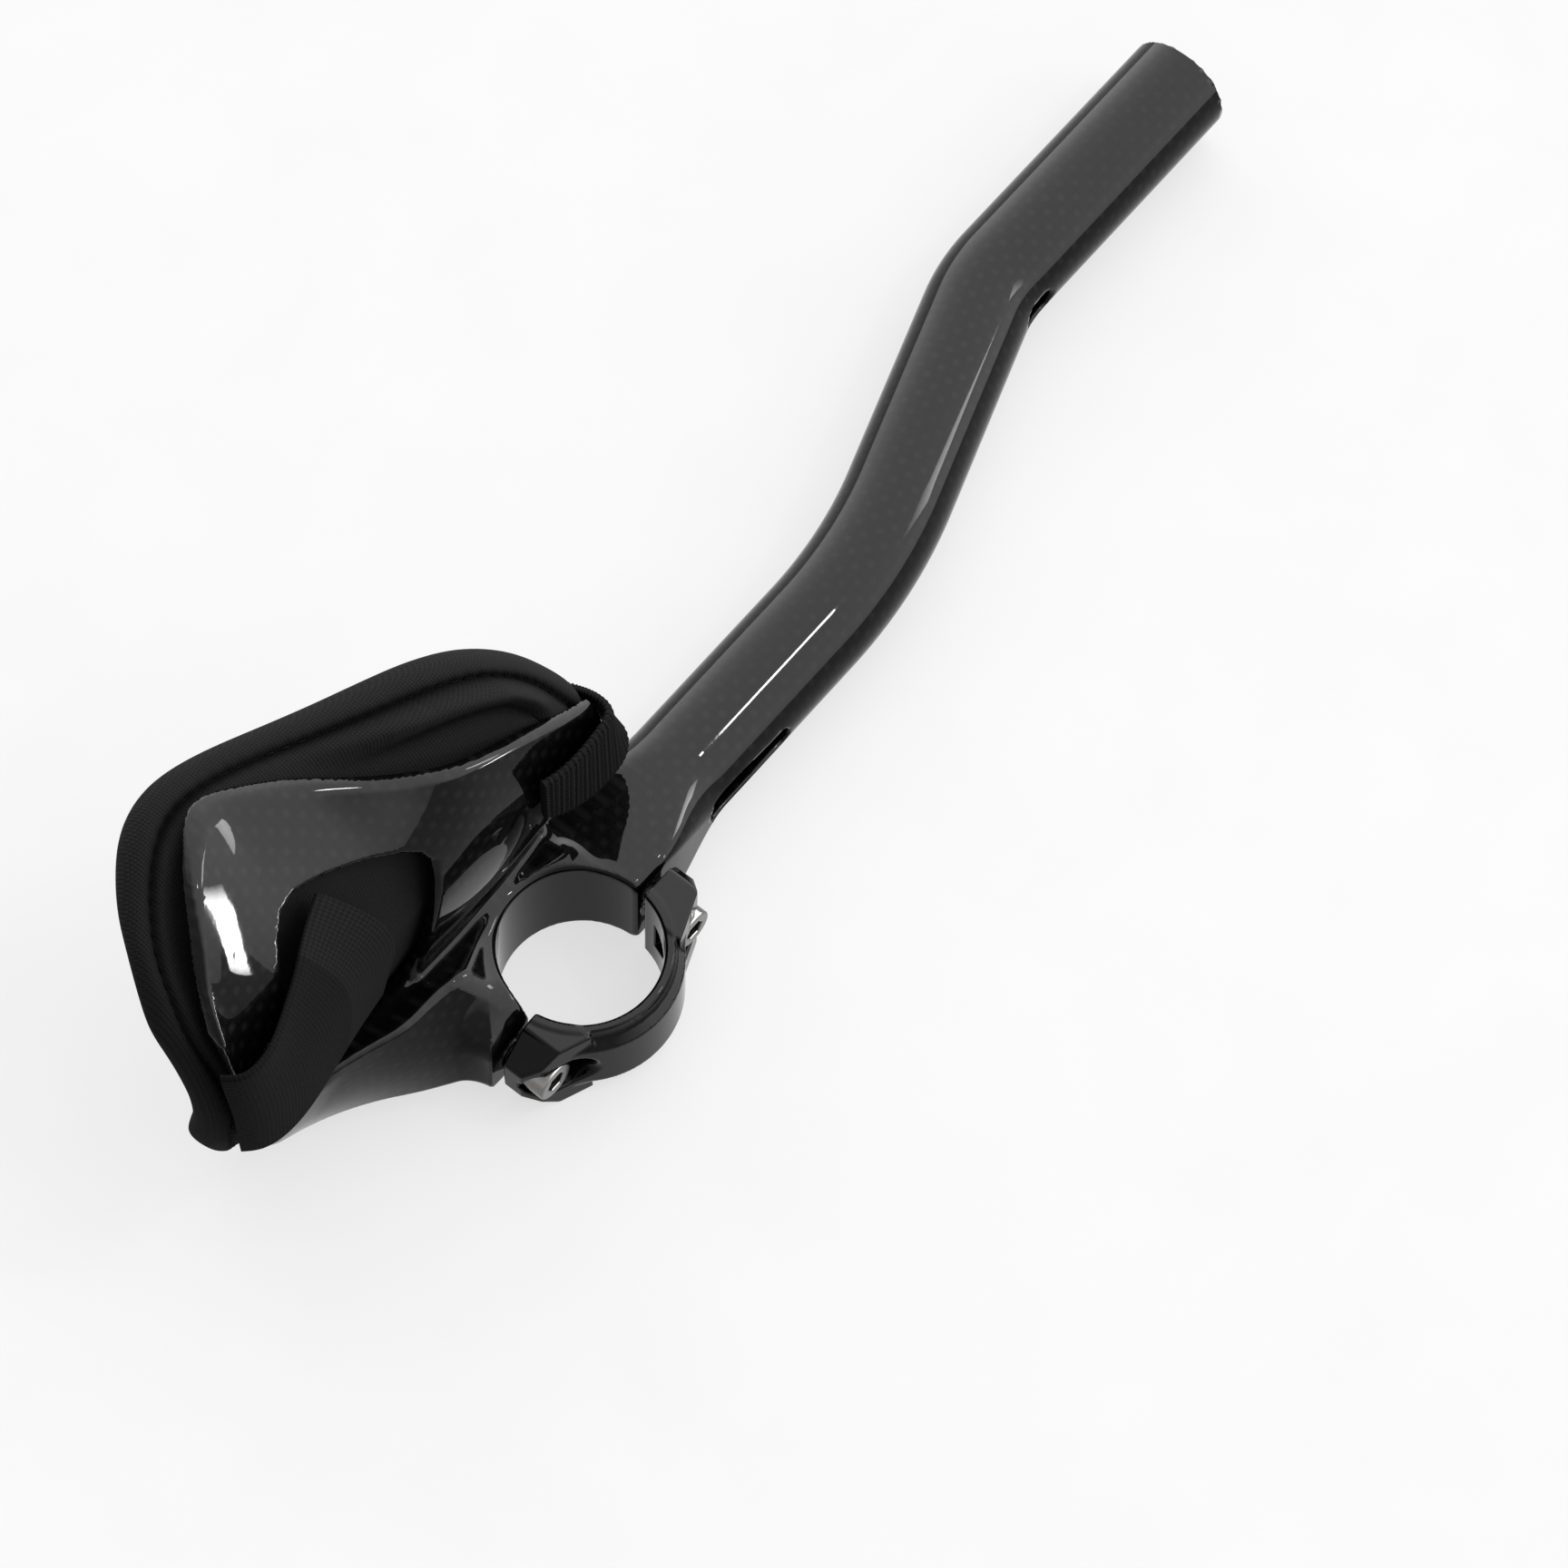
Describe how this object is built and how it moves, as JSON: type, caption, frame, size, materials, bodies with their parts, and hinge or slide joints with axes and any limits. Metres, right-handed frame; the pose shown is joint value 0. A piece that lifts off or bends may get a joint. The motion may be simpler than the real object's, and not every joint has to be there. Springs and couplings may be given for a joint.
{
  "type": "clip-on time trial bar",
  "caption": "One-piece carbon clip-on aero bar: a two-bend extension tube, a split clamp for a round handlebar and a cradle with a padded forearm rest held by elastic straps.",
  "frame": {"origin": "centre of the round handlebar clamp, on its axis at mid width", "axes": "+X forward along the extension, +Y up in use, away from the clamp cap, +Z along the clamp axis, outboard"},
  "size_m": [0.3143, 0.0791, 0.0933],
  "materials": {
    "carbon": "clear-coated carbon fibre weave",
    "cap_black": "gloss black",
    "bolt_steel": "bright stainless",
    "insert_metal": "turned",
    "pad_fabric": "black stretch fabric over foam",
    "foam": "closed-cell foam",
    "webbing": "black elastic webbing"
  },
  "bodies": {
    "root": {"carbon_body": "carbon", "clamp_cap": "cap_black", "clamp_bolts": "bolt_steel", "threaded_inserts": "insert_metal", "pad_cover": "pad_fabric", "pad_foam": "foam", "front_strap": "webbing", "rear_strap": "webbing"}
  },
  "joints": []
}
